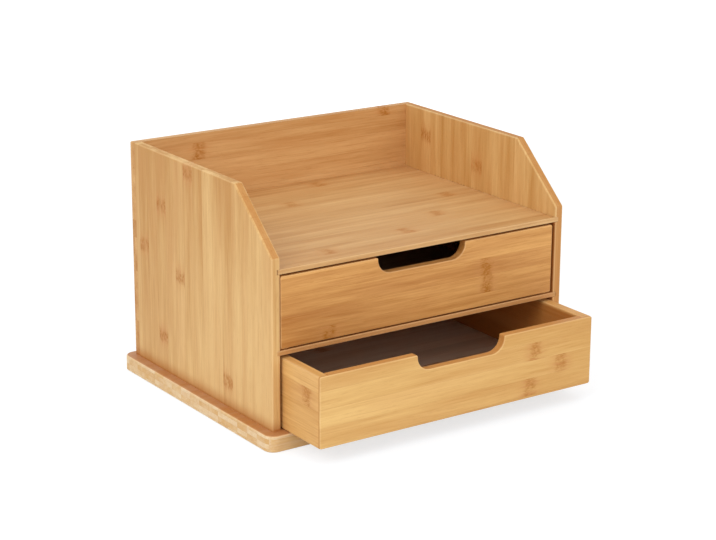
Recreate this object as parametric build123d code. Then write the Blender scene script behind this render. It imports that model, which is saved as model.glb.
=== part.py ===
"""Desk organizer in bamboo: an open document tray over two sliding drawers.

Millimetres, +X to the right, +Y to the back, +Z up. The origin is the centre of the base
plate's underside, and the drawers open towards -Y. The upper drawer is shut and the lower
one stands part of the way out.
"""

from build123d import *
import os

# ---------------------------------------------------------------- driving sizes

# carcass: side panels, back panel and the base plate under them
carcass_width = 330.0
carcass_depth = 256.0
panel_thickness = 9.0
back_thickness = 9.0
side_height = 216.5
side_front_height = 161.0
slope_run = 62.0
profile_corner_radius = 3.0
panel_ease = 1.5

base_thickness = 15.5
base_side_overhang = 10.0
base_front_overhang = 11.0
base_rear_overhang = 8.0
base_corner_radius = 10.0
base_top_ease = 2.0
base_bottom_chamfer = 0.8

# two shelves let into grooves of the side panels, with a drawer bay of equal height under each
bay_height = 70.6
shelf_thickness = 4.7
shelf_ease = 0.8
shelf_tongue = 3.0
shelf_end_gap = 0.4
shelf_groove_play = 0.15
shelf_tight_gap = 0.05

# drawers
running_gap = 0.3
drawer_side_clearance = 1.7
upper_drawer_left_gap = 0.3
lower_drawer_right_gap = 1.1
drawer_rear_clearance = 1.0
front_thickness = 9.0
front_play = 3.3
upper_front_clearance = 1.3
lower_front_clearance = 0.4
front_corner_radius = 2.0
front_ease = 1.2
front_back_chamfer = 0.6
corner_lip = 2.5
drawer_side_thickness = 10.0
drawer_back_thickness = 9.0
drawer_board_ease = 1.5
bottom_thickness = 4.0
bottom_lift = 5.0
bottom_groove_depth = 4.0
bottom_groove_play = 0.2
lower_drawer_opening = 60.0

# finger cut-out in the top edge of each drawer front
cutout_width = 98.5
cutout_depth = 15.6
cutout_floor_radius = 14.0
cutout_lip_radius = 1.3

# wood screws up through the base plate
screw_shank_radius = 1.75
screw_head_radius = 3.5
screw_head_height = 2.6
screw_length = 38.0
screw_sink = 0.4
screw_hole_play = 0.25
pilot_play = 0.05
side_screw_inset = 45.0
back_screw_inset = 60.0

# dowels between the back panel and the rear edges of the side panels
dowel_radius = 2.5
dowel_in_back = 5.0
dowel_in_side = 14.0
dowel_end_gap = 0.5
dowel_play = 0.05

# ---------------------------------------------------------------- worked-out places

base_width = carcass_width + 2 * base_side_overhang
base_depth = carcass_depth + base_front_overhang + base_rear_overhang
front_y = -base_depth / 2 + base_front_overhang
rear_y = front_y + carcass_depth
back_face_y = rear_y - back_thickness
outer_x = carcass_width / 2
inner_x = outer_x - panel_thickness
top_z = base_thickness + side_height

lower_floor_z = base_thickness
middle_shelf_z = lower_floor_z + bay_height
upper_floor_z = middle_shelf_z + shelf_thickness
upper_shelf_z = upper_floor_z + bay_height
tray_floor_z = upper_shelf_z + shelf_thickness

drawer_width = 2 * (inner_x - drawer_side_clearance)
drawer_length = back_face_y - front_y - drawer_rear_clearance
front_height = bay_height - front_play
upper_drawer_shift = upper_drawer_left_gap - drawer_side_clearance
lower_drawer_shift = drawer_side_clearance - lower_drawer_right_gap
shelf_shift = shelf_end_gap - shelf_tight_gap


# ---------------------------------------------------------------- helpers


def board(x_span, y_span, z_span):
    """A squared board between its low and high faces along each axis."""
    size = [high - low for low, high in (x_span, y_span, z_span)]
    centre = [(high + low) / 2 for low, high in (x_span, y_span, z_span)]
    return Pos(*centre) * Box(*size)


def edges_at(solid, axis, place, along=None):
    """The edges that lie in the plane across an axis at a place, if wanted only those along a direction."""
    found = solid.edges().filter_by_position(axis, place - 0.001, place + 0.001)
    return found.filter_by(along) if along else found


def mirrored(solid):
    """The same piece on the other side of the middle plane."""
    return mirror(solid, about=Plane.YZ)


def place_all(shape, points):
    return [Pos(*point) * shape for point in points]


# ---------------------------------------------------------------- fasteners


def base_screw():
    """A countersunk wood screw that stands on its head, with its axis on Z and its head's face at 0."""
    head = Pos(0, 0, screw_head_height / 2) * Cone(screw_head_radius, screw_shank_radius, screw_head_height)
    shank_length = screw_length - screw_head_height
    return head + Pos(0, 0, screw_length - shank_length / 2) * Cylinder(screw_shank_radius, shank_length)


def screw_places():
    """Where the screws stand: two under each side panel and two under the back panel."""
    side_x = outer_x - panel_thickness / 2
    side_ys = (front_y + side_screw_inset, back_face_y - side_screw_inset)
    places = [(sign * side_x, y, screw_sink) for sign in (-1, 1) for y in side_ys]
    back_y = rear_y - back_thickness / 2
    return places + [(sign * (inner_x - back_screw_inset), back_y, screw_sink) for sign in (-1, 1)]


def screw_hole():
    """The countersunk clearance hole of one screw through the base plate, on the screw's own axis."""
    taper = (screw_head_radius - screw_shank_radius) / screw_head_height
    hole_radius = screw_shank_radius + screw_hole_play
    mouth_radius = screw_head_radius + screw_hole_play + taper * screw_sink
    sink_height = screw_sink + screw_head_height
    sink = Pos(0, 0, sink_height / 2 - screw_sink) * Cone(mouth_radius, hole_radius, sink_height)
    return sink + Pos(0, 0, base_thickness / 2) * Cylinder(hole_radius, base_thickness)


def pilot_hole():
    """The hole that one screw makes in the board above the base plate, on the screw's own axis."""
    depth = screw_length + screw_sink - base_thickness + 1.0
    return Pos(0, 0, base_thickness - screw_sink + depth / 2) * Cylinder(screw_shank_radius + pilot_play, depth)


def dowel_places():
    """Where the dowels cross the joint: one beside the lower bay and one beside the tray, on each side."""
    x = outer_x - panel_thickness / 2
    heights = ((lower_floor_z + middle_shelf_z) / 2, (tray_floor_z + top_z) / 2)
    return [(sign * x, back_face_y, z) for sign in (-1, 1) for z in heights]


def dowel(radius, in_back, in_side):
    """A cylinder along Y that reaches into the back panel and into a side panel from their joint."""
    length = in_back + in_side
    return Pos(0, (in_back - in_side) / 2, 0) * Rot(90, 0, 0) * Cylinder(radius, length)


def dowel_hole():
    return dowel(dowel_radius + dowel_play, dowel_in_back + dowel_end_gap, dowel_in_side + dowel_end_gap)


# ---------------------------------------------------------------- carcass


def make_base_plate():
    plate = board(
        (-base_width / 2, base_width / 2), (-base_depth / 2, base_depth / 2), (0, base_thickness)
    )
    plate = fillet(plate.edges().filter_by(Axis.Z), base_corner_radius)
    plate = fillet(edges_at(plate, Axis.Z, base_thickness), base_top_ease)
    plate = chamfer(edges_at(plate, Axis.Z, 0), base_bottom_chamfer)
    return plate - place_all(screw_hole(), screw_places())


def side_outline():
    """The side panel's outline: upright back part, straight slope down to the front edge."""
    return Plane.YZ * make_face(
        Polyline(
            (front_y, base_thickness),
            (front_y, base_thickness + side_front_height),
            (front_y + slope_run, top_z),
            (back_face_y, top_z),
            (back_face_y, base_thickness),
            close=True,
        )
    )


def make_left_side_panel():
    panel = Pos(-outer_x, 0, 0) * extrude(side_outline(), panel_thickness)
    across = panel.edges().filter_by(Axis.X)
    corners = across.filter_by_position(Axis.Y, front_y - 1, back_face_y - 1)
    corners = corners.filter_by_position(Axis.Z, base_thickness + 1, top_z + 1)
    panel = fillet(corners, profile_corner_radius)
    for face_x in (-outer_x, -inner_x):
        rim = edges_at(panel, Axis.X, face_x).filter_by_position(Axis.Z, base_thickness + 1, top_z + 1)
        rim = rim.filter_by_position(Axis.Y, front_y - 1, back_face_y - 1)
        panel = fillet(rim, panel_ease)
    groove_floor_x = -inner_x - shelf_tongue - shelf_end_gap
    for shelf_z in (middle_shelf_z, upper_shelf_z):
        panel -= board(
            (groove_floor_x, -inner_x),
            (front_y, back_face_y),
            (shelf_z, shelf_z + shelf_thickness + shelf_groove_play),
        )
    return panel - place_all(pilot_hole(), screw_places()) - place_all(dowel_hole(), dowel_places())


def make_back_panel():
    panel = board((-outer_x, outer_x), (back_face_y, rear_y), (base_thickness, top_z))
    panel = fillet(edges_at(panel, Axis.Y, rear_y, Axis.Z), panel_ease)
    panel = fillet(edges_at(panel, Axis.Z, top_z).filter_by_position(Axis.Y, rear_y - 1, rear_y + 1), panel_ease)
    return panel - place_all(pilot_hole(), screw_places()) - place_all(dowel_hole(), dowel_places())


def make_shelf(z, shift_x):
    """A shelf that runs from groove to groove, pushed to one side by most of its end gap."""
    half_width = inner_x + shelf_tongue
    x_span = (shift_x - half_width, shift_x + half_width)
    shelf = board(x_span, (front_y, back_face_y), (z, z + shelf_thickness))
    return fillet(edges_at(shelf, Axis.Y, front_y, Axis.X), shelf_ease)


# ---------------------------------------------------------------- drawers


def cutout(front_top_z, y_span):
    """The space of a finger cut-out: a wide trough with large floor corners, open at the top."""
    half_width = cutout_width / 2
    x_span = (-half_width, half_width)
    trough = board(x_span, y_span, (front_top_z - cutout_depth, front_top_z + cutout_depth))
    floor_corners = trough.edges().filter_by(Axis.Y).sort_by(Axis.Z)[:2]
    return fillet(floor_corners, cutout_floor_radius)


def make_drawer_front(face_y, floor_z, clearance):
    """The front board, with a rabbet at each end for the side boards and a groove for the bottom."""
    half_width = drawer_width / 2
    back_y = face_y + front_thickness
    low_z = floor_z + clearance
    top = low_z + front_height
    front = board((-half_width, half_width), (face_y, back_y), (low_z, top))
    front = fillet(front.edges().filter_by(Axis.Y), front_corner_radius)
    front -= cutout(top, (face_y, back_y))
    lips = front.edges().filter_by(Axis.Y).filter_by_position(Axis.Z, top - 0.001, top + 0.001)
    lips = lips.filter_by_position(Axis.X, -cutout_width, cutout_width)
    front = fillet(lips, cutout_lip_radius)
    front = fillet(edges_at(front, Axis.Y, face_y), front_ease)
    front = chamfer(edges_at(front, Axis.Y, back_y), front_back_chamfer)
    inside_x = half_width - drawer_side_thickness
    for x_span in ((-half_width, -inside_x), (inside_x, half_width)):
        front -= board(x_span, (face_y + corner_lip, back_y), (low_z, top))
    return front - bottom_groove((-inside_x, inside_x), (back_y - bottom_groove_depth, back_y), floor_z)


def bottom_groove(x_span, y_span, floor_z):
    low_z = floor_z + running_gap + bottom_lift
    return board(x_span, y_span, (low_z, low_z + bottom_thickness + bottom_groove_play))


def make_drawer_side(face_y, floor_z, top):
    """The left side board, from the front's rabbet to the rear end of the drawer."""
    outside_x = -drawer_width / 2
    inside_x = outside_x + drawer_side_thickness
    y_span = (face_y + corner_lip, face_y + drawer_length)
    side = board((outside_x, inside_x), y_span, (floor_z + running_gap, top))
    side = fillet(edges_at(side, Axis.Z, top, Axis.Y), drawer_board_ease)
    side = fillet(edges_at(side, Axis.Z, floor_z + running_gap, Axis.Y), drawer_board_ease)
    return side - bottom_groove((inside_x - bottom_groove_depth, inside_x), y_span, floor_z)


def make_drawer_back(face_y, floor_z, top):
    """The back board between the side boards, standing on the bottom."""
    half_width = drawer_width / 2 - drawer_side_thickness
    rear_end = face_y + drawer_length
    low_z = floor_z + running_gap + bottom_lift + bottom_thickness
    back = board((-half_width, half_width), (rear_end - drawer_back_thickness, rear_end), (low_z, top))
    return fillet(edges_at(back, Axis.Z, top, Axis.X), drawer_board_ease)


def make_drawer_bottom(face_y, floor_z):
    """The thin bottom, held in the grooves of the front and the sides, under the back board."""
    reach = bottom_groove_depth - bottom_groove_play
    half_width = drawer_width / 2 - drawer_side_thickness + reach
    low_z = floor_z + running_gap + bottom_lift
    y_span = (face_y + front_thickness - reach, face_y + drawer_length)
    return board((-half_width, half_width), y_span, (low_z, low_z + bottom_thickness))


def make_drawer(name, shift_x, face_y, floor_z, clearance):
    """The five boards of one drawer, as {node: solid}; the clearance is what its front leaves below it."""
    top = floor_z + clearance + front_height
    left_side = make_drawer_side(face_y, floor_z, top)
    boards = {
        "front": make_drawer_front(face_y, floor_z, clearance),
        "left_side": left_side,
        "right_side": mirrored(left_side),
        "back": make_drawer_back(face_y, floor_z, top),
        "bottom": make_drawer_bottom(face_y, floor_z),
    }
    return {f"{name}_{piece}": Pos(shift_x, 0, 0) * solid for piece, solid in boards.items()}


# ---------------------------------------------------------------- the whole organizer

left_side_panel = make_left_side_panel()

nodes = {
    "base_plate": make_base_plate(),
    "left_side_panel": left_side_panel,
    "right_side_panel": mirrored(left_side_panel),
    "back_panel": make_back_panel(),
    "upper_shelf": make_shelf(upper_shelf_z, shelf_shift),
    "middle_shelf": make_shelf(middle_shelf_z, -shelf_shift),
    "base_screws": Compound(place_all(base_screw(), screw_places())),
    "corner_dowels": Compound(place_all(dowel(dowel_radius, dowel_in_back, dowel_in_side), dowel_places())),
    **make_drawer("upper_drawer", upper_drawer_shift, front_y, upper_floor_z, upper_front_clearance),
    **make_drawer(
        "lower_drawer",
        lower_drawer_shift,
        front_y - lower_drawer_opening,
        lower_floor_z,
        lower_front_clearance,
    ),
}

os.makedirs("parts", exist_ok=True)
for node, shape in nodes.items():
    export_step(shape, f"parts/{node}.step")
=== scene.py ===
"""Bamboo desk organizer: board finishes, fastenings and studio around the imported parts."""

import math
from typing import NamedTuple

import bmesh
import bpy
from mathutils import Matrix, Vector


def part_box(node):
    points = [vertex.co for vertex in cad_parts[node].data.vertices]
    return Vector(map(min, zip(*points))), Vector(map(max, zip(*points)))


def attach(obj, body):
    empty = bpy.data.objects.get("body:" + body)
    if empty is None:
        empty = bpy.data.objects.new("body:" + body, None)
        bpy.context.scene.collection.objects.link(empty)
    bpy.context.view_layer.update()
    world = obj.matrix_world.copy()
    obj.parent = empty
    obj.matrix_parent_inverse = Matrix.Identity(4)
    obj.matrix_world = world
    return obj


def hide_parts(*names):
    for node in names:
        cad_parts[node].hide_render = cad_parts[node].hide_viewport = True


bl_info = {
    "name": "Bamboo Desk Organizer",
    "version": (1, 0, 0),
    "blender": (4, 5, 0),
    "location": "3D View > Sidebar > Desk Organizer",
    "description": "Finishes the boards of a bamboo desk organizer and lights them",
    "category": "Object",
}

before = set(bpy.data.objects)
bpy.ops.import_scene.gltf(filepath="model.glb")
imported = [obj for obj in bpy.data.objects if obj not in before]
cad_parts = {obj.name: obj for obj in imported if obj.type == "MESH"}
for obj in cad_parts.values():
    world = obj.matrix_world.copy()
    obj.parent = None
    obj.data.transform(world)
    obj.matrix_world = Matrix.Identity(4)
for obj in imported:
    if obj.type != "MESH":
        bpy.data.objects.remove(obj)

X, Y, Z = Vector((1, 0, 0)), Vector((0, 1, 0)), Vector((0, 0, 1))
FAR_AWAY = 9.0  # metres: no joint of the culm is that far from any point of a board
NOISE_ROUGHNESS = 0.55

# How a board's faces are told apart: by their normal's size along each axis of the grain,
# or for a sawn slope by its angle from the strips' direction, in radians.
END_FACE = (0.62, 0.86)
NARROW_FACE = (0.0, 0.12)
SLOPE_FROM, SLOPE_TO, SLOPE_FLAT = (0.50, 0.68), (0.96, 1.14), (0.80, 0.95)
EASED_FROM, EASED_TO = (0.06, 0.26), (0.84, 0.98)

# Fasteners: the angle over which an edge stays sharp, and the shape of thread and recess.
SCREW_SHARP, CUTTER_SHARP, DOWEL_SHARP = math.radians(35), 0.5, math.radians(50)
SCREW_SIDES, THREAD_STEPS = 32, 20  # round the screw, and in one turn of its thread
THREAD_FLANK, THREAD_ROOT = 0.22, 0.9  # of the pitch, and of the core's radius
RECESS_NARROWING = (0.42, 0.7, 1.0)
SCREW_TURN = math.radians(37.0)  # between one screw's recess and the next one's

# Studio: the lamps as (name, place, size), what they shine at, and the camera's film.
LAMPS = (
    ("key", (-1.5, -0.5, 1.1), 0.9),
    ("top", (-0.2, 0.2, 1.8), 1.2),
    ("fill", (0.3, -1.9, 0.6), 1.0),
)
LAMP_TARGET = (0.0, 0.0, 0.12)
FILM_WIDTH, CLIP_START, CLIP_END = 36.0, 0.05, 50.0
FLOOR_DROP = 0.0002  # below the base plate, so that the two faces don't meet
FLOOR_CAST = (0.94, 1.0, 1.07)  # the floor's slight coolness


# ---------------------------------------------------------------- settings


def length(name, default, description, **limits):
    """A size in metres."""
    return bpy.props.FloatProperty(
        name=name, default=default, description=description,
        unit="LENGTH", precision=5, **limits,
    )


def share(name, default, description, maximum=1.0):
    """A plain number from 0 to a maximum."""
    return bpy.props.FloatProperty(
        name=name, default=default, description=description,
        min=0.0, max=maximum, subtype="FACTOR",
    )


def tone(name, default, description):
    """A colour, in linear light."""
    return bpy.props.FloatVectorProperty(
        name=name, default=default, description=description,
        size=3, min=0.0, max=1.0, subtype="COLOR",
    )


class BambooLook(bpy.types.PropertyGroup):
    """How the bamboo boards look."""

    strip_width: length("Strip width", 0.0172, "Width of one glued strip of bamboo")
    layer_thickness: length("Layer thickness", 0.0047, "Thickness of one layer of strips")
    seam_width: length("Seam width", 0.00025, "Width of the glue line between two strips")
    joint_core: length("Joint core", 0.0092, "Half width of the marks of a culm joint")
    joint_halo: length("Joint halo", 0.0190, "Half width of the stained part round a joint")
    strip_contrast: share("Strip contrast", 0.42, "Difference of tone between two strips")
    joint_strength: share("Joint strength", 0.66, "How dark the marks of the culm joints are")
    halo_strength: share("Halo strength", 0.85, "How warm the stained part round a joint is")
    slant_strength: share("Slant strength", 0.72, "How warm the sawn slopes are")
    fleck_strength: share("Fleck strength", 0.30, "How dark the veins and flecks are")
    # Painted highlight: how strongly the eased edges are painted paler.
    edge_highlight_strength: share("Edge strength", 0.24, "How pale the eased edges are")
    blush_strength: share("Blush strength", 0.22, "How much the warm patches show")
    roughness: share("Roughness", 0.50, "Mean roughness of the lacquered surface")
    lacquer: share("Lacquer", 0.06, "Share of clear lacquer on top")
    lacquer_roughness: share("Lacquer roughness", 0.30, "Roughness of the lacquer")
    relief: length("Relief", 0.00016, "Depth of the fibres' relief")
    panel_pale: tone("Panel pale", (0.790, 0.512, 0.211), "Pale fibres of sides and back")
    panel_deep: tone("Panel deep", (0.560, 0.284, 0.079), "Deep fibres of sides and back")
    base_pale: tone("Base pale", (0.880, 0.700, 0.455), "Pale fibres of the base plate")
    base_deep: tone("Base deep", (0.740, 0.470, 0.195), "Deep fibres of the base plate")
    back_pale: tone("Back pale", (0.750, 0.450, 0.190), "Pale fibres of the back panel")
    back_deep: tone("Back deep", (0.530, 0.250, 0.074), "Deep fibres of the back panel")
    front_pale: tone("Front pale", (0.782, 0.410, 0.127), "Pale fibres of drawer fronts")
    front_deep: tone("Front deep", (0.462, 0.178, 0.035), "Deep fibres of drawer fronts")
    drawer_pale: tone("Drawer pale", (0.865, 0.527, 0.193), "Pale fibres of drawer boards")
    drawer_deep: tone("Drawer deep", (0.615, 0.303, 0.083), "Deep fibres of drawer boards")
    shelf_pale: tone("Shelf pale", (0.755, 0.470, 0.205), "Pale fibres of the shelves")
    shelf_deep: tone("Shelf deep", (0.525, 0.260, 0.085), "Deep fibres of the shelves")
    outer_pale: tone("Outer pale", (0.848, 0.545, 0.202), "Pale fibres of the lower front")
    outer_deep: tone("Outer deep", (0.648, 0.349, 0.102), "Deep fibres of the lower front")
    bottom_pale: tone("Bottom pale", (0.720, 0.575, 0.435), "Pale grain of drawer bottoms")
    bottom_deep: tone("Bottom deep", (0.560, 0.425, 0.305), "Deep grain of drawer bottoms")
    blush_tone: tone("Blush", (0.600, 0.270, 0.085), "Warm patches of the bamboo")
    rim_tone: tone("Rim", (0.540, 0.225, 0.055), "Narrow faces of the boards")
    joint_tone: tone("Joint", (0.425, 0.150, 0.012), "Stain at the culm joints")
    # Painted highlight: the pale tone painted on the eased edges, standing in for light they
    # catch.
    edge_highlight_tone: tone("Edge", (0.880, 0.640, 0.350), "Wood of the eased edges")
    shade_tone: tone("Shade", (0.420, 0.112, 0.006), "Deep shade between the boards")
    dowel_pale: tone("Dowel pale", (0.800, 0.640, 0.430), "Pale grain of the dowels")
    dowel_deep: tone("Dowel deep", (0.640, 0.460, 0.270), "Deep grain of the dowels")


class FasteningLook(bpy.types.PropertyGroup):
    """Sizes of the screws and dowels that hold the carcass."""

    side_inset: length("Side screw inset", 0.045, "From a side panel's ends to its screws")
    back_inset: length("Back screw inset", 0.060, "From the side panels to the back's screws")
    screw_length: length("Screw length", 0.038, "From the head's face to the tip")
    head_radius: length("Head radius", 0.0035, "Radius of the countersunk head")
    head_height: length("Head height", 0.0026, "Height of the countersunk head")
    thread_radius: length("Thread radius", 0.00175, "Outer radius of the thread")
    core_radius: length("Core radius", 0.00118, "Radius of the screw's core")
    thread_pitch: length("Thread pitch", 0.0018, "Rise of one turn of the thread")
    neck_length: length("Neck length", 0.010, "Plain part under the head")
    tip_length: length("Tip length", 0.004, "Length of the point")
    recess_span: length("Recess span", 0.0038, "Width of the cross recess")
    recess_slot: length("Recess slot", 0.0008, "Width of one arm of the cross")
    recess_depth: length("Recess depth", 0.0017, "Depth of the cross recess")
    dowel_radius: length("Dowel radius", 0.0025, "Outer radius of a dowel")
    flute_depth: length("Flute depth", 0.0002, "Depth of a dowel's flutes")
    dowel_chamfer: length("Dowel chamfer", 0.0006, "Chamfer at a dowel's ends")
    flutes: bpy.props.IntProperty(
        name="Flutes", default=20, min=8, description="Flutes round a dowel"
    )
    steel: tone("Steel", (0.640, 0.620, 0.560), "Zinc plating of the screws")
    steel_dark: tone("Steel dark", (0.400, 0.380, 0.330), "Dull patches of the plating")


class StudioLook(bpy.types.PropertyGroup):
    """Camera, lamps and floor."""

    camera_place: bpy.props.FloatVectorProperty(
        name="Camera place", default=(-1.06512, -1.57034, 0.68692), size=3,
        subtype="XYZ", unit="LENGTH", precision=5, description="Where the camera stands",
    )
    camera_turn: bpy.props.FloatProperty(
        name="Camera turn", default=math.radians(-34.486), unit="ROTATION",
        precision=5, description="Turn of the camera round the upright",
    )
    camera_drop: bpy.props.FloatProperty(
        name="Camera drop", default=math.radians(16.982), unit="ROTATION",
        precision=5, description="How far the camera looks down",
    )
    camera_roll: bpy.props.FloatProperty(
        name="Camera roll", default=math.radians(0.327), unit="ROTATION",
        precision=5, description="Turn of the camera round its own axis",
    )
    focal_length: bpy.props.FloatProperty(
        name="Focal length", default=102.335, unit="CAMERA",
        description="Focal length on a film 36 mm wide",
    )
    floor_span: length("Floor span", 12.0, "Width of the studio floor")
    floor_reach: length("Floor reach", 1.3, "How far from the organizer the shadow is kept")
    floor_tone: share("Floor tone", 0.42, "How much light the floor sends back to the camera")
    floor_glow: share("Floor glow", 0.68, "Light added to the floor as the camera sees it")
    key_power: bpy.props.FloatProperty(
        name="Key power", default=8.0, unit="POWER", description="Large lamp, upper left",
    )
    top_power: bpy.props.FloatProperty(
        name="Top power", default=3.0, unit="POWER", description="Large lamp overhead",
    )
    fill_power: bpy.props.FloatProperty(
        name="Fill power", default=7.0, unit="POWER", description="Soft lamp in front",
    )
    sky: share("Sky", 0.80, "Strength of the even light all round", 2.0)


# ---------------------------------------------------------------- node trees


class Tree:
    """Adds nodes to a node tree and joins their sockets."""

    def __init__(self, tree):
        tree.nodes.clear()
        self.tree = tree

    def node(self, kind, sockets=(), **settings):
        """Adds a node. sockets pairs a socket's name or number with a value or an output."""
        node = self.tree.nodes.new(kind)
        for name, value in settings.items():
            setattr(node, name, value)
        for key, value in dict(sockets).items():
            if isinstance(value, bpy.types.NodeSocket):
                self.tree.links.new(value, node.inputs[key])
            else:
                node.inputs[key].default_value = value
        return node

    def math(self, operation, *values, clamp=False):
        """The output of a Math node."""
        return self.node(
            "ShaderNodeMath", enumerate(values), operation=operation, use_clamp=clamp
        ).outputs[0]

    def vector(self, operation, *values):
        """The output of a Vector Math node."""
        return self.node(
            "ShaderNodeVectorMath", enumerate(values), operation=operation
        ).outputs[0]

    def join(self, x, y, z):
        """One vector from three numbers."""
        return self.node("ShaderNodeCombineXYZ", enumerate((x, y, z))).outputs[0]

    def split(self, vector):
        """The three numbers of a vector."""
        return self.node("ShaderNodeSeparateXYZ", {0: vector}).outputs[:]

    def chance(self, vector):
        """Three even random numbers for each place."""
        noise = self.node(
            "ShaderNodeTexWhiteNoise", {"Vector": vector}, noise_dimensions="3D"
        )
        return self.split(noise.outputs["Color"])

    def noise(self, vector, detail):
        """Smooth noise with features of one unit, from 0 to 1 about one half."""
        return self.node(
            "ShaderNodeTexNoise",
            {
                "Vector": vector, "Scale": 1.0, "Detail": detail,
                "Roughness": NOISE_ROUGHNESS,
            },
            noise_dimensions="3D",
        ).outputs["Fac"]

    def ramp(self, value, low, high, start=0.0, end=1.0):
        """A smooth step of value from low to high."""
        return self.node(
            "ShaderNodeMapRange",
            {"Value": value, 1: low, 2: high, 3: start, 4: end},
            interpolation_type="SMOOTHSTEP",
        ).outputs[0]

    def blend(self, amount, first, second):
        """A mix of two colours."""
        return self.node(
            "ShaderNodeMix", {0: amount, 6: first, 7: second},
            data_type="RGBA",
        ).outputs[2]


def new_group(name, inputs, outputs):
    """A shader node group with its sockets, as (tree, inputs by name, output node)."""
    group = bpy.data.node_groups.new(name, "ShaderNodeTree")
    tree = Tree(group)
    for in_out, sockets in (("INPUT", inputs), ("OUTPUT", outputs)):
        for socket, kind in sockets.items():
            group.interface.new_socket(
                socket, in_out=in_out, socket_type="NodeSocket" + kind
            )
    given = tree.node("NodeGroupInput")
    result = tree.node("NodeGroupOutput")
    return tree, given.outputs, result


def strips_group(look):
    """Cuts a board into glued strips and layers, and finds the seams between them."""
    tree, given, result = new_group(
        "bamboo strips", {"Place": "Vector"},
        {"Strip": "Float", "Layer": "Float", "Seam": "Float"},
    )
    _, across, through = tree.split(given["Place"])
    strip = tree.math("DIVIDE", across, look.strip_width)
    layer = tree.math("DIVIDE", through, look.layer_thickness)
    beside = tree.math("PINGPONG", strip, 0.5)
    above = tree.math("PINGPONG", layer, 0.5)
    line = look.seam_width / look.strip_width
    layer_line = look.seam_width / look.layer_thickness
    seam = tree.math(
        "MAXIMUM",
        tree.ramp(beside, 0.0, line, 1.0, 0.0),
        tree.ramp(above, 0.0, layer_line, 0.7, 0.0),
    )
    links = tree.tree.links
    links.new(tree.math("FLOOR", strip), result.inputs["Strip"])
    links.new(tree.math("FLOOR", layer), result.inputs["Layer"])
    links.new(seam, result.inputs["Seam"])
    return tree.tree


def joint_group():
    """Keeps whichever culm joint is nearest along the strip."""
    tree, given, result = new_group(
        "culm joint",
        {
            "Along": "Float", "Strip": "Float", "Joint along": "Float",
            "Joint strip": "Float", "Nearest": "Float",
        },
        {"Nearest": "Float"},
    )
    gap = tree.math("SUBTRACT", given["Along"], given["Joint along"])
    other = tree.math("COMPARE", given["Strip"], given["Joint strip"], 0.5)
    away = tree.math(
        "MULTIPLY_ADD", tree.math("SUBTRACT", 1.0, other), FAR_AWAY,
        tree.math("ABSOLUTE", gap),
    )
    nearer = tree.math("LESS_THAN", away, tree.math("ABSOLUTE", given["Nearest"]))
    kept = tree.node(
        "ShaderNodeMix", {0: nearer, 2: given["Nearest"], 3: gap}, data_type="FLOAT"
    ).outputs[0]
    tree.tree.links.new(kept, result.inputs["Nearest"])
    return tree.tree


class Streak(NamedTuple):
    """One size of streak in the bamboo, in metres."""

    length: float
    width: float
    strength: float
    detail: float


STREAKS = (
    Streak(0.200, 0.0150, 1.45, 2.0),
    Streak(0.080, 0.0045, 0.80, 2.0),
    Streak(0.040, 0.0015, 0.68, 2.0),
)
VEINS = Streak(0.070, 0.0015, 1.0, 3.0)
FLECKS = Streak(0.011, 0.00060, 1.0, 2.0)
WANDER = Streak(0.170, 0.0500, 0.0050, 1.0)
BLUSH = Streak(0.120, 0.0300, 0.9, 2.0)
JOINT_ZIGZAG = Streak(0.0400, 0.0060, 0.0085, 3.0)
JOINT_MARKS = Streak(0.0030, 0.0012, 1.0, 3.0)
JOINT_PATCHES = Streak(0.0110, 0.0060, 1.0, 2.0)
JOINT_TAILS = Streak(0.0220, 0.0018, 1.0, 3.0)
JOINT_SWIRL = Streak(0.0100, 0.0060, 0.0045, 1.0)


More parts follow.
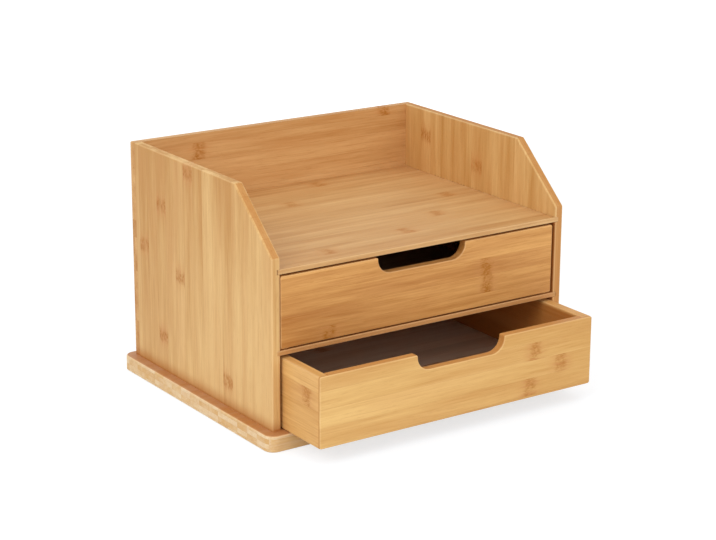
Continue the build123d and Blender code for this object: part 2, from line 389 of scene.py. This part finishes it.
def fibres_group(look):
    """Colour, roughness and relief of the fibres of a bamboo board.

    Shade is how far a place is hidden between boards, End is how much deeper the cut ends
    are than the flanks, Rim is how much warmer the narrow faces are, Figure is how strong
    the flecks and joint marks are, and Sloped is 1 on a board with a sawn slope.
    """
    tree, given, result = new_group(
        "bamboo fibres",
        {
            "Place": "Vector", "Facing": "Vector", "Strip": "Float", "Layer": "Float",
            "Seam": "Float", "Joint": "Float", "Seed": "Float", "Drift": "Vector",
            "Pale": "Color", "Deep": "Color", "Shade": "Float", "End": "Float",
            "Rim": "Float", "Figure": "Float", "Sloped": "Float",
        },
        {"Color": "Color", "Roughness": "Float", "Height": "Float"},
    )
    stain = (*look.joint_tone, 1)
    _, across, through = tree.split(given["Place"])
    pick = tree.chance(tree.join(given["Strip"], given["Layer"], given["Seed"]))

    def stretched(streak, vector):
        scale = (1 / streak.length, 1 / streak.width, 1 / streak.width)
        return tree.noise(tree.vector("MULTIPLY", vector, scale), streak.detail)

    def centred(value, strength):
        return tree.math("MULTIPLY", tree.math("SUBTRACT", value, 0.5), strength)

    # The fibres wander a little, swirl at a joint, and start afresh in every strip.
    from_joint = tree.math("ABSOLUTE", given["Joint"])
    halo = tree.ramp(from_joint, 0.25 * look.joint_core, look.joint_halo, 1.0, 0.0)
    wander = centred(stretched(WANDER, given["Place"]), WANDER.strength)
    swirl = tree.math(
        "MULTIPLY", halo,
        centred(stretched(JOINT_SWIRL, given["Place"]), JOINT_SWIRL.strength),
    )
    moved = tree.math("ADD", across, tree.math("ADD", wander, swirl))
    place = tree.join(
        tree.math("MULTIPLY_ADD", pick[0], 3.0, tree.split(given["Place"])[0]),
        tree.math("MULTIPLY_ADD", pick[1], 0.7, moved),
        through,
    )
    facing = tree.split(tree.vector("ABSOLUTE", given["Facing"]))
    end = tree.ramp(facing[0], *END_FACE)
    drift = tree.node(
        "ShaderNodeVectorMath", {0: given["Place"], 1: given["Drift"]},
        operation="DOT_PRODUCT",
    ).outputs["Value"]
    contrast = tree.math("MULTIPLY_ADD", end, 0.4, look.strip_contrast)
    drift = tree.math("MULTIPLY", drift, tree.math("SUBTRACT", 1.0, end))
    level = tree.math(
        "MULTIPLY_ADD", tree.math("SUBTRACT", pick[2], 0.5), contrast, drift
    )
    for streak in STREAKS:
        level = tree.math(
            "ADD", level, centred(stretched(streak, place), streak.strength)
        )
    colour = tree.blend(
        tree.math("ADD", level, 0.5, clamp=True), given["Deep"], given["Pale"]
    )

    blush = tree.ramp(stretched(BLUSH, place), 0.35, 0.75, 0.0, look.blush_strength)
    colour = tree.blend(blush, colour, (*look.blush_tone, 1))

    # The narrow faces of some boards are warmer, and those sawn aslant are deeper.
    narrow = tree.ramp(facing[2], *NARROW_FACE, 1.0, 0.0)
    angle = tree.math("ARCTAN2", facing[0], facing[1])
    slant = tree.math(
        "MULTIPLY", tree.ramp(angle, *SLOPE_FROM), tree.ramp(angle, *SLOPE_TO, 1.0, 0.0)
    )
    slant = tree.math("MULTIPLY", slant, tree.ramp(facing[2], *SLOPE_FLAT, 1.0, 0.0))
    slant = tree.math("MULTIPLY", slant, given["Sloped"])
    warm = tree.node(
        "ShaderNodeMix", {0: slant, 2: given["Rim"], 3: look.slant_strength},
        data_type="FLOAT",
    ).outputs[0]
    colour = tree.blend(tree.math("MULTIPLY", narrow, warm), colour, (*look.rim_tone, 1))

    # Dark veins and short flecks along the fibres.
    fleck = tree.math(
        "MAXIMUM",
        tree.ramp(stretched(FLECKS, place), 0.56, 0.74, 0.0, 0.7),
        tree.ramp(stretched(VEINS, place), 0.54, 0.76),
    )
    flecks = tree.math("MULTIPLY", fleck, look.fleck_strength)
    flecks = tree.math("MULTIPLY", flecks, given["Figure"], clamp=True)
    colour = tree.blend(flecks, colour, stain)

    # A culm joint is a ragged patch of short marks, with stained fibres on both sides of it.
    ragged = tree.math(
        "ADD", given["Joint"], centred(stretched(JOINT_ZIGZAG, place), JOINT_ZIGZAG.strength)
    )
    core = tree.ramp(
        tree.math("ABSOLUTE", ragged), 0.25 * look.joint_core, look.joint_core, 1.0, 0.0
    )
    marks = tree.ramp(stretched(JOINT_MARKS, place), 0.36, 0.62, 0.30, 1.0)
    patches = tree.ramp(stretched(JOINT_PATCHES, place), 0.34, 0.60, 0.25, 1.0)
    tails = tree.ramp(stretched(JOINT_TAILS, place), 0.38, 0.66, 0.10, 1.0)
    marks = tree.math("MULTIPLY", tree.math("MULTIPLY", core, marks), patches)
    tails = tree.math("MULTIPLY", tree.math("MULTIPLY", halo, tails), look.halo_strength)
    colour = tree.blend(tails, colour, (*look.blush_tone, 1))
    joint = tree.math("MULTIPLY", marks, look.joint_strength)
    joint = tree.math("MULTIPLY", joint, given["Figure"], clamp=True)
    colour = tree.blend(joint, colour, stain)

    # Seams between strips show as hairlines.
    colour = tree.blend(tree.math("MULTIPLY", given["Seam"], 0.26), colour, stain)

    # Cut ends are a little deeper, and show the fibre bundles as dots.
    bundles = tree.node(
        "ShaderNodeTexVoronoi",
        {"Vector": tree.join(0.0, across, through), "Scale": 1150.0},
        voronoi_dimensions="3D", feature="F1",
    ).outputs["Distance"]
    dots = tree.ramp(bundles, 0.16, 0.42, 1.0, 0.0)
    end_dots = tree.math(
        "MULTIPLY", end, tree.math("MULTIPLY_ADD", dots, 0.14, given["End"])
    )
    colour = tree.blend(end_dots, colour, stain)

    # Painted highlight: the eased edges are drawn paler, and painted shade deepens what lies
    # hidden between the boards.
    edge = tree.math(
        "MULTIPLY",
        tree.ramp(facing[2], *EASED_FROM, 0.0, look.edge_highlight_strength),
        tree.ramp(facing[2], *EASED_TO, 1.0, 0.0),
    )
    edge = tree.math("MULTIPLY", edge, tree.math("SUBTRACT", 1.0, slant))
    colour = tree.blend(edge, colour, (*look.edge_highlight_tone, 1))
    colour = tree.blend(given["Shade"], colour, (*look.shade_tone, 1))

    fine = stretched(STREAKS[-1], place)
    rough = tree.math("MULTIPLY_ADD", fine, 0.16, look.roughness - 0.08)
    rough = tree.math("MULTIPLY_ADD", joint, 0.10, rough)
    rough = tree.math("MULTIPLY_ADD", end, 0.12, rough, clamp=True)
    height = tree.math("MULTIPLY_ADD", fleck, -0.55, fine)
    height = tree.math("MULTIPLY_ADD", joint, 0.25, height)
    height = tree.math("MULTIPLY_ADD", given["Seam"], -0.90, height)
    height = tree.math("MULTIPLY_ADD", end_dots, -1.20, height)
    links = tree.tree.links
    links.new(colour, result.inputs["Color"])
    links.new(rough, result.inputs["Roughness"])
    links.new(height, result.inputs["Height"])
    return tree.tree


def group_tree(name, make, *arguments):
    """A node group, made the first time that it is asked for."""
    return bpy.data.node_groups.get(name) or make(*arguments)


# ---------------------------------------------------------------- boards


class Board(NamedTuple):
    """How one board is cut from the glued bamboo: its grain, its tones and its joints.

    along and across are directions, and seed picks the strips. joints holds the places of
    the culm joints, each as a pair of coordinates in metres, the first along the grain and
    the second across it.
    shift moves the strips across the board, drift is how much paler the bamboo gets for
    each metre along the grain and across it, end is how much deeper its cut ends are, rim
    is how much warmer its narrow faces are, figure is how strong its flecks and joint
    marks are, and sloped says that it has a sawn slope.
    """

    node: str
    tone: str
    along: Vector
    across: Vector
    seed: int
    joints: tuple
    shift: float = 0.0
    drift: tuple = (0.0, 0.0)
    end: float = 0.10
    rim: float = 0.0
    figure: float = 1.0
    sloped: bool = False


CARCASS_BOARDS = (
    Board(
        "left_side_panel", "panel", Z, Y, 712,
        (
            (0.2236, 0.0134), (0.1810, 0.0664), (0.1341, 0.1043), (0.1183, 0.0316),
            (0.0508, 0.0684), (0.0407, -0.0440),
        ),
        shift=0.004, drift=(-3.3, -1.5), end=0.0, figure=1.25, sloped=True,
    ),
    Board(
        "right_side_panel", "panel", Z, Y, 12,
        (
            (0.2050, 0.0910), (0.1520, -0.0260), (0.1180, 0.0520), (0.0620, 0.0150),
            (0.0880, -0.0900), (0.0360, 0.1060), (0.1910, -0.0050),
        ),
        shift=0.007, rim=0.80, sloped=True,
    ),
    Board(
        "back_panel", "back", X, Z, 662,
        (
            (-0.0940, 0.2173), (0.1280, 0.2260),
            (0.1010, 0.1450), (-0.1310, 0.1290), (0.0550, 0.0940), (-0.0600, 0.0610),
            (0.1350, 0.0430),
        ),
        shift=0.0038, figure=1.40,
    ),
    Board(
        "upper_shelf", "shelf", X, Y, 14,
        (
            (-0.0900, -0.1000), (0.0700, -0.0520), (0.1210, 0.0060), (-0.0300, 0.0450),
            (0.0350, 0.1020), (-0.1220, 0.0850), (0.0100, -0.0850),
        ),
        shift=0.005,
    ),
    Board(
        "middle_shelf", "shelf", X, Y, 15,
        ((0.0600, -0.0930), (-0.1100, -0.0480), (0.1180, 0.0210), (-0.0400, 0.0720)),
        shift=0.001, rim=0.30,
    ),
    Board(
        "base_plate", "base", X, Y, 570,
        (
            (-0.1250, -0.1280), (0.0900, -0.1200), (-0.0350, -0.0870), (0.1400, -0.0490),
            (-0.1480, 0.0060), (0.0480, 0.0420), (-0.0750, 0.0880), (0.1200, 0.1180),
        ),
        shift=0.0129, drift=(0.0, 2.7), end=0.0,
    ),
)

# Hidden places: how deep their shade is, and over what length it fades, in metres.
BAY_SHADE, BAY_EDGE = 0.75, 0.0026
FOOT_SHADE, FOOT_LINE = 0.72, 0.0052
FOOT_GLOOM, FOOT_RISE = 0.45, 0.0140
LEDGE_SHADE, LEDGE_EASE = 0.69, 0.0006
DRAWER_SHADE, DRAWER_FADE = 0.66, 0.0040
FLUSH = 0.0003

DRAWER_BOARDS = tuple(
    Board(
        f"{drawer}_drawer_{part}", kind, along, across, seed + later,
        tuple((a, b + rise) for a, b in joints), shift, rim=0.06,
    )
    for drawer, rise, later in (("upper", 0.0753, 0), ("lower", 0.0, 4))
    for part, kind, along, across, seed, shift, joints in (
        (
            "left_side", "drawer", Y, Z, 542, 0.0161,
            ((-0.1647, 0.0575), (-0.0420, 0.0330), (0.0120, 0.0740)),
        ),
        (
            "right_side", "drawer", Y, Z, 32, 0.008,
            ((-0.1180, 0.0330), (-0.0020, 0.0600), (0.0350, 0.0250)),
        ),
        (
            "back", "drawer", X, Z, 33, 0.005,
            ((-0.0800, 0.0450), (0.0650, 0.0700), (0.1170, 0.0330)),
        ),
        (
            "bottom", "bottom", X, Y, 34, 0.0,
            ((-0.0900, -0.1300), (0.0500, -0.0800), (-0.0200, 0.0100)),
        ),
    )
) + (
    Board(
        "upper_drawer_front", "front", X, Z, 39,
        (
            (-0.1036, 0.1000), (0.0735, 0.1330), (0.0752, 0.1140),
        ),
        shift=0.0035, drift=(0.6, 6.0), end=0.45, rim=0.30, figure=1.90,
    ),
    Board(
        "lower_drawer_front", "outer", X, Z, 321,
        (
            (0.0871, 0.0625), (0.1183, 0.0460), (0.0813, 0.0264),
        ),
        shift=0.0141, drift=(-1.6, 0.0), end=0.10, rim=0.78,
    ),
)


def scene_look(name):
    """One of this add-on's groups of settings."""
    return getattr(bpy.context.scene, "desk_organizer_" + name)


def principled(tree, colour, roughness, normal, constants):
    """Ends a material's tree with the shader. constants are set on its own sockets."""
    shader = tree.node(
        "ShaderNodeBsdfPrincipled",
        {"Base Color": colour, "Roughness": roughness, "Normal": normal, **constants},
    )
    tree.node("ShaderNodeOutputMaterial", {"Surface": shader.outputs[0]})


def new_material(name):
    """A material and its empty tree."""
    material = bpy.data.materials.new(name)
    material.use_nodes = True
    return material, Tree(material.node_tree)


def grain_turn(along, across):
    """The turn that lays a board's grain along X and its strips across Y."""
    return Matrix((along, across, along.cross(across))).to_euler()


def inside_box(tree, place, low, high, soft):
    """1 inside a box, falling to 0 over a margin of its own along each axis."""
    centre, half = (low + high) / 2, (high - low) / 2
    away = tree.split(tree.vector("ABSOLUTE", tree.vector("SUBTRACT", place, centre)))
    inside = 1.0
    for axis in range(3):
        near = tree.ramp(away[axis], half[axis], half[axis] + soft[axis], 1.0, 0.0)
        inside = tree.math("MULTIPLY", inside, near)
    return inside


def carcass_shade(tree, place):
    """How deep a place lies in the bays or in the corner at the carcass's foot."""
    wall, back, shelf = (
        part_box(name) for name in ("left_side_panel", "back_panel", "upper_shelf")
    )
    inner_x, front_y, foot_z = -wall[1].x, wall[0].y, wall[0].z
    bays = inside_box(
        tree, place,
        Vector((-inner_x, front_y + 0.6 * BAY_EDGE, foot_z)),
        Vector((inner_x, back[0].y, shelf[0].z)),
        (BAY_EDGE, BAY_EDGE, FLUSH),
    )
    height = tree.split(place)[2]
    foot = tree.math(
        "MAXIMUM",
        tree.ramp(height, foot_z, foot_z + FOOT_LINE, FOOT_SHADE, 0.0),
        tree.ramp(height, foot_z, foot_z + FOOT_RISE, FOOT_GLOOM, 0.0),
    )
    ledge = tree.ramp(height, foot_z - LEDGE_EASE, foot_z - LEDGE_EASE / 3, 0.0, LEDGE_SHADE)
    low = tree.math("MINIMUM", foot, ledge)
    return tree.math("MAXIMUM", tree.math("MULTIPLY", bays, BAY_SHADE), low)


def drawer_shade(tree, place, name):
    """How deep a place lies inside a drawer."""
    front, back, side = (
        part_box(f"{name}_{part}") for part in ("front", "back", "left_side")
    )
    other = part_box(f"{name}_right_side")
    inside = inside_box(
        tree, place,
        Vector((side[1].x, front[1].y, side[0].z)),
        Vector((other[0].x, back[0].y, side[1].z - DRAWER_FADE)),
        (FLUSH, FLUSH, DRAWER_FADE),
    )
    return tree.math("MULTIPLY", inside, DRAWER_SHADE)


def bamboo_material(board, low, high):
    """The bamboo of one board, whose box goes from low to high."""
    look = scene_look("bamboo")
    turn = grain_turn(board.along, board.across)
    centre = turn.to_matrix() @ ((low + high) / 2)
    offset = Vector((0.0, board.shift, 0.0)) - centre
    material, tree = new_material("bamboo_" + board.node)
    source = tree.node("ShaderNodeTexCoord")
    place = tree.node(
        "ShaderNodeMapping",
        {"Vector": source.outputs["Object"], "Location": offset, "Rotation": turn},
    ).outputs[0]
    facing = tree.node(
        "ShaderNodeMapping",
        {"Vector": source.outputs["Normal"], "Rotation": turn},
        vector_type="VECTOR",
    ).outputs[0]
    strips = tree.node(
        "ShaderNodeGroup", {"Place": place},
        node_tree=group_tree("bamboo strips", strips_group, look),
    ).outputs
    along = tree.split(place)[0]
    nearest = FAR_AWAY
    for joint_along, joint_across in board.joints:
        nearest = tree.node(
            "ShaderNodeGroup",
            {
                "Along": along, "Strip": strips["Strip"],
                "Joint along": joint_along + offset.x,
                "Joint strip": math.floor((joint_across + offset.y) / look.strip_width),
                "Nearest": nearest,
            },
            node_tree=group_tree("culm joint", joint_group),
        ).outputs[0]
    drawer, _, part = board.node.rpartition("_drawer_")
    if part == "bottom":
        shade = 0.0
    elif drawer:
        shade = drawer_shade(tree, source.outputs["Object"], drawer + "_drawer")
    else:
        shade = carcass_shade(tree, source.outputs["Object"])
    fibres = tree.node(
        "ShaderNodeGroup",
        {
            "Place": place, "Facing": facing, "Strip": strips["Strip"],
            "Layer": strips["Layer"], "Seam": strips["Seam"], "Joint": nearest,
            "Seed": board.seed, "Drift": (*board.drift, 0.0),
            "Pale": (*getattr(look, board.tone + "_pale"), 1),
            "Deep": (*getattr(look, board.tone + "_deep"), 1),
            "Shade": shade, "End": board.end, "Rim": board.rim, "Figure": board.figure,
            "Sloped": float(board.sloped),
        },
        node_tree=group_tree("bamboo fibres", fibres_group, look),
    )
    bump = tree.node(
        "ShaderNodeBump",
        {"Height": fibres.outputs["Height"], "Distance": look.relief, "Strength": 0.6},
    )
    principled(
        tree, fibres.outputs["Color"], fibres.outputs["Roughness"], bump.outputs[0],
        {
            "IOR": 1.45, "Specular IOR Level": 0.30, "Coat Weight": look.lacquer,
            "Coat Roughness": look.lacquer_roughness,
        },
    )
    return material


def finish_boards(boards):
    """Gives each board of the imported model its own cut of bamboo."""
    for board in boards:
        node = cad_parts[board.node]
        material = bamboo_material(board, *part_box(board.node))
        for slot in node.material_slots:
            slot.material = material


# ---------------------------------------------------------------- fastenings


def finished(bm, name, material, smooth_angle):
    """Turns a bmesh into an object of the scene, its faces pointing outwards."""
    bmesh.ops.remove_doubles(bm, verts=bm.verts, dist=1e-7)
    bmesh.ops.recalc_face_normals(bm, faces=bm.faces)
    for face in bm.faces:
        face.smooth = True
    for edge in bm.edges:
        if len(edge.link_faces) == 2 and edge.calc_face_angle() > smooth_angle:
            edge.smooth = False
    mesh = bpy.data.meshes.new(name)
    bm.to_mesh(mesh)
    bm.free()
    mesh.materials.append(material)
    piece = bpy.data.objects.new(name, mesh)
    bpy.context.scene.collection.objects.link(piece)
    return piece


def spun(bm, outline, steps):
    """Turns an outline of (radius, height) points into a closed round body."""
    verts = [bm.verts.new((radius, 0.0, height)) for radius, height in outline]
    edges = [bm.edges.new(pair) for pair in zip(verts, verts[1:])]
    bmesh.ops.spin(
        bm, geom=verts + edges, cent=(0, 0, 0), axis=(0, 0, 1),
        angle=math.tau, steps=steps, use_merge=True,
    )


def steel_material(look):
    """Zinc plating, a little dull in places."""
    material, tree = new_material("zinc_plated_steel")
    place = tree.node(
        "ShaderNodeMapping",
        {
            "Vector": tree.node("ShaderNodeTexCoord").outputs["Object"],
            "Scale": (900.0, 900.0, 900.0),
        },
    ).outputs[0]
    patches = tree.noise(place, 4.0)
    colour = tree.blend(
        tree.ramp(patches, 0.35, 0.65), (*look.steel_dark, 1), (*look.steel, 1)
    )
    rough = tree.ramp(patches, 0.30, 0.70, 0.42, 0.24)
    bump = tree.node(
        "ShaderNodeBump", {"Height": patches, "Distance": 0.00002, "Strength": 0.4}
    )
    principled(tree, colour, rough, bump.outputs[0], {"Metallic": 1.0})
    return material


def screw_mesh(look):
    """One screw with its head's face on z = 0 and its tip up, as a bmesh."""
    bm = bmesh.new()
    top = look.screw_length
    outline = (
        (0.0, 0.0), (look.head_radius - 0.0001, 0.0), (look.head_radius, 0.0002),
        (look.thread_radius, look.head_height), (look.thread_radius, look.neck_length),
        (look.core_radius, look.neck_length + 0.0006),
        (look.core_radius, top - look.tip_length), (0.0, top),
    )
    spun(bm, outline, SCREW_SIDES)
    # The thread is a ridge, wound up the core.
    turns = (top - look.tip_length - look.neck_length) / look.thread_pitch
    start = look.neck_length
    half = look.thread_pitch * THREAD_FLANK
    ridge = [
        bm.verts.new((radius, 0.0, height))
        for radius, height in (
            (look.core_radius * THREAD_ROOT, start - half), (look.thread_radius, start),
            (look.core_radius * THREAD_ROOT, start + half),
        )
    ]
    face = bm.faces.new(ridge)
    steps = int(turns * THREAD_STEPS)
    bmesh.ops.spin(
        bm, geom=[face], cent=(0, 0, 0), axis=(0, 0, 1),
        dvec=(0, 0, look.thread_pitch * turns / steps),
        angle=math.tau * turns, steps=steps,
    )
    return bm


def cross_recess(look):
    """The cutter of a cross recess: two crossed bars that narrow inwards."""
    bm = bmesh.new()
    for turn in (0.0, math.pi / 2):
        bar = bmesh.ops.create_cube(bm, size=1.0)["verts"]
        bmesh.ops.scale(
            bm, vec=(look.recess_span, look.recess_slot, 2 * look.recess_depth), verts=bar
        )
        deep = [vert for vert in bar if vert.co.z > 0]
        bmesh.ops.scale(bm, vec=RECESS_NARROWING, verts=deep)
        bmesh.ops.rotate(
            bm, cent=(0, 0, 0), matrix=Matrix.Rotation(turn, 3, "Z"), verts=bar
        )
    return bm


def cut(piece, cutter):
    """Cuts one object out of another and keeps the result in the first one's mesh."""
    change = piece.modifiers.new("recess", "BOOLEAN")
    change.operation, change.solver, change.object = "DIFFERENCE", "EXACT", cutter
    change.use_self = True
    shown = piece.evaluated_get(bpy.context.evaluated_depsgraph_get())
    mesh = bpy.data.meshes.new_from_object(shown)
    piece.modifiers.clear()
    piece.data = mesh
    bpy.data.objects.remove(cutter)


def dowel_mesh(look, span):
    """One fluted dowel, standing on z = 0, as a bmesh."""
    bm = bmesh.new()
    radius, chamfer = look.dowel_radius, look.dowel_chamfer
    outline = (
        (0.0, 0.0), (radius - chamfer, 0.0), (radius, chamfer),
        (radius, span - chamfer), (radius - chamfer, span), (0.0, span),
    )
    steps = 2 * look.flutes
    spun(bm, outline, steps)
    for vert in bm.verts:
        column = round(math.atan2(vert.co.y, vert.co.x) / math.tau * steps)
        if vert.co.xy.length > radius - chamfer / 2 and column % 2:
            vert.co.xy *= 1 - look.flute_depth / radius
    return bm


def copies(bm, pattern, places):
    """Adds a copy of a pattern mesh at each place, a 4 by 4 matrix."""
    for place in places:
        before = len(bm.verts)
        bm.from_mesh(pattern)
        bm.verts.ensure_lookup_table()
        bmesh.ops.transform(bm, matrix=place, verts=bm.verts[before:])


def screw_places(look):
    """Where the screws stand: two under each side panel and two under the back."""
    low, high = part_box("left_side_panel")
    back_low, back_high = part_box("back_panel")
    side = (low.x + high.x) / 2
    inner = -high.x - look.back_inset
    back = (back_low.y + back_high.y) / 2
    rows = ((side, low.y + look.side_inset), (side, high.y - look.side_inset), (inner, back))
    return [(sign * x, y) for x, y in rows for sign in (-1, 1)]


# ---------------------------------------------------------------- operators


class DESK_OT_carcass_boards(bpy.types.Operator):
    """Give the sides, back, shelves and base plate their bamboo"""

    bl_idname = "desk_organizer.carcass_boards"
    bl_label = "Carcass Boards"

    def execute(self, context):
        finish_boards(CARCASS_BOARDS)
        return {"FINISHED"}


class DESK_OT_drawer_boards(bpy.types.Operator):
    """Give the boards of both drawers their bamboo"""

    bl_idname = "desk_organizer.drawer_boards"
    bl_label = "Drawer Boards"

    def execute(self, context):
        finish_boards(DRAWER_BOARDS)
        return {"FINISHED"}


class DESK_OT_screws(bpy.types.Operator):
    """Model the countersunk screws under the base plate"""

    bl_idname = "desk_organizer.screws"
    bl_label = "Base Screws"

    def execute(self, context):
        look = scene_look("fastenings")
        material = steel_material(look)
        one = finished(screw_mesh(look), "screw_pattern", material, SCREW_SHARP)
        cutter = finished(cross_recess(look), "recess_cutter", material, CUTTER_SHARP)
        cut(one, cutter)
        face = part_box("base_screws")[0].z
        bm = bmesh.new()
        copies(
            bm, one.data,
            [
                Matrix.Translation((x, y, face))
                @ Matrix.Rotation(SCREW_TURN * number, 4, "Z")
                for number, (x, y) in enumerate(screw_places(look))
            ],
        )
        bpy.data.objects.remove(one)
        screws = finished(bm, "countersunk_screws", material, SCREW_SHARP)
        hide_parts("base_screws")
        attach(screws, "carcass")
        return {"FINISHED"}


class DESK_OT_dowels(bpy.types.Operator):
    """Model the fluted dowels between the back and the side panels"""

    bl_idname = "desk_organizer.dowels"
    bl_label = "Corner Dowels"

    def execute(self, context):
        look = scene_look("fastenings")
        low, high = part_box("corner_dowels")
        radius = look.dowel_radius
        pattern = bpy.data.meshes.new("dowel_pattern")
        one = dowel_mesh(look, high.y - low.y)
        one.to_mesh(pattern)
        one.free()
        lying = Matrix.Rotation(-math.pi / 2, 4, "X")
        bm = bmesh.new()
        copies(
            bm, pattern,
            [
                Matrix.Translation((x, low.y, z)) @ lying
                for x in (low.x + radius, high.x - radius)
                for z in (low.z + radius, high.z - radius)
            ],
        )
        bpy.data.meshes.remove(pattern)
        board = Board("corner_dowels", "dowel", Y, Z, 61, ())
        material = bamboo_material(board, low, high)
        dowels = finished(bm, "fluted_dowels", material, DOWEL_SHARP)
        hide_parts("corner_dowels")
        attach(dowels, "carcass")
        return {"FINISHED"}


def floor_material(look):
    """White for the camera, with the organizer's shadow kept, and plain pale otherwise."""
    material, tree = new_material("studio_floor")
    rays = tree.node("ShaderNodeLightPath").outputs
    seen = tree.math(
        "MAXIMUM", rays["Is Camera Ray"],
        tree.math("MAXIMUM", rays["Is Glossy Ray"], rays["Is Transmission Ray"]),
    )
    place = tree.node("ShaderNodeTexCoord").outputs["Object"]
    away = tree.node("ShaderNodeVectorMath", {0: place}, operation="LENGTH")
    far = tree.ramp(away.outputs["Value"], look.floor_reach * 0.4, look.floor_reach)
    glow = tree.node(
        "ShaderNodeEmission",
        {"Color": (1, 1, 1, 1), "Strength": tree.math("MAXIMUM", look.floor_glow, far)},
    ).outputs[0]
    cool = (*(look.floor_tone * cast for cast in FLOOR_CAST), 1)
    lit = tree.node("ShaderNodeBsdfDiffuse", {"Color": cool}).outputs[0]
    plain = tree.node("ShaderNodeBsdfDiffuse", {"Color": (0.8, 0.8, 0.8, 1)}).outputs[0]
    both = tree.node("ShaderNodeAddShader", {0: lit, 1: glow}).outputs[0]
    top = tree.node("ShaderNodeMixShader", {0: seen, 1: plain, 2: both}).outputs[0]
    under = tree.node("ShaderNodeBsdfTransparent").outputs[0]
    behind = tree.node("ShaderNodeNewGeometry").outputs["Backfacing"]
    whole = tree.node("ShaderNodeMixShader", {0: behind, 1: top, 2: under}).outputs[0]
    tree.node("ShaderNodeOutputMaterial", {"Surface": whole})
    return material


def area_lamp(name, place, target, size, power):
    """A square lamp at place that shines towards target."""
    lamp = bpy.data.lights.new(name, "AREA")
    lamp.shape, lamp.size, lamp.energy = "SQUARE", size, power
    piece = bpy.data.objects.new(name, lamp)
    piece.location = place
    piece.rotation_euler = (Vector(target) - Vector(place)).to_track_quat("-Z", "Y").to_euler()
    bpy.context.scene.collection.objects.link(piece)


class DESK_OT_studio(bpy.types.Operator):
    """Set up the floor, the soft lamps and the camera"""

    bl_idname = "desk_organizer.studio"
    bl_label = "Studio"

    def execute(self, context):
        scene, look = context.scene, scene_look("studio")
        bm = bmesh.new()
        bmesh.ops.create_grid(
            bm, x_segments=1, y_segments=1, size=look.floor_span / 2,
            matrix=Matrix.Translation((0, 0, -FLOOR_DROP)),
        )
        mesh = bpy.data.meshes.new("studio_floor")
        bm.to_mesh(mesh)
        bm.free()
        mesh.materials.append(floor_material(look))
        floor = bpy.data.objects.new("studio_floor", mesh)
        scene.collection.objects.link(floor)

        world = bpy.data.worlds.new("studio")
        world.use_nodes = True
        tree = Tree(world.node_tree)
        seen = tree.node("ShaderNodeLightPath").outputs["Is Camera Ray"]
        strength = tree.node(
            "ShaderNodeMix", {0: seen, 2: look.sky, 3: 1.0}, data_type="FLOAT"
        ).outputs[0]
        glow = tree.node(
            "ShaderNodeBackground", {"Color": (1, 1, 1, 1), "Strength": strength}
        )
        tree.node("ShaderNodeOutputWorld", {"Surface": glow.outputs[0]})
        scene.world = world

        for name, place, size in LAMPS:
            power = getattr(look, name + "_power")
            area_lamp(name + "_lamp", place, LAMP_TARGET, size, power)

        lens = bpy.data.cameras.new("camera")
        lens.lens, lens.sensor_width = look.focal_length, FILM_WIDTH
        lens.clip_start, lens.clip_end = CLIP_START, CLIP_END
        camera = bpy.data.objects.new("camera", lens)
        camera.matrix_world = (
            Matrix.Translation(look.camera_place)
            @ Matrix.Rotation(look.camera_turn, 4, "Z")
            @ Matrix.Rotation(math.pi / 2 - look.camera_drop, 4, "X")
            @ Matrix.Rotation(look.camera_roll, 4, "Z")
        )
        scene.collection.objects.link(camera)
        scene.camera = camera
        scene.view_settings.view_transform = "Standard"
        return {"FINISHED"}


STEPS = (
    DESK_OT_carcass_boards, DESK_OT_drawer_boards, DESK_OT_screws, DESK_OT_dowels,
    DESK_OT_studio,
)


class DESK_PT_organizer(bpy.types.Panel):
    """The desk organizer's steps and settings"""

    bl_idname = "DESK_PT_organizer"
    bl_label = "Desk Organizer"
    bl_space_type = "VIEW_3D"
    bl_region_type = "UI"
    bl_category = "Desk Organizer"

    def draw(self, context):
        for step in STEPS:
            self.layout.operator(step.bl_idname)
        for name in LOOKS:
            box = self.layout.box()
            box.label(text=name.title())
            look = scene_look(name)
            for setting in look.bl_rna.properties:
                if setting.identifier not in ("rna_type", "name"):
                    box.prop(look, setting.identifier)


LOOKS = {"bamboo": BambooLook, "fastenings": FasteningLook, "studio": StudioLook}


def register():
    """Adds the settings, the operators and the panel to Blender."""
    for name, group in LOOKS.items():
        bpy.utils.register_class(group)
        setattr(
            bpy.types.Scene, "desk_organizer_" + name,
            bpy.props.PointerProperty(type=group),
        )
    for made in (*STEPS, DESK_PT_organizer):
        bpy.utils.register_class(made)


def unregister():
    """Takes them out again."""
    for made in (DESK_PT_organizer, *reversed(STEPS)):
        bpy.utils.unregister_class(made)
    for name, group in LOOKS.items():
        delattr(bpy.types.Scene, "desk_organizer_" + name)
        bpy.utils.unregister_class(group)


def main():
    """Builds the whole scene."""
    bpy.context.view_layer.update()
    register()
    for step in STEPS:
        area, name = step.bl_idname.split(".")
        getattr(getattr(bpy.ops, area), name)()
    bpy.context.view_layer.update()


if __name__ == "__main__":
    main()
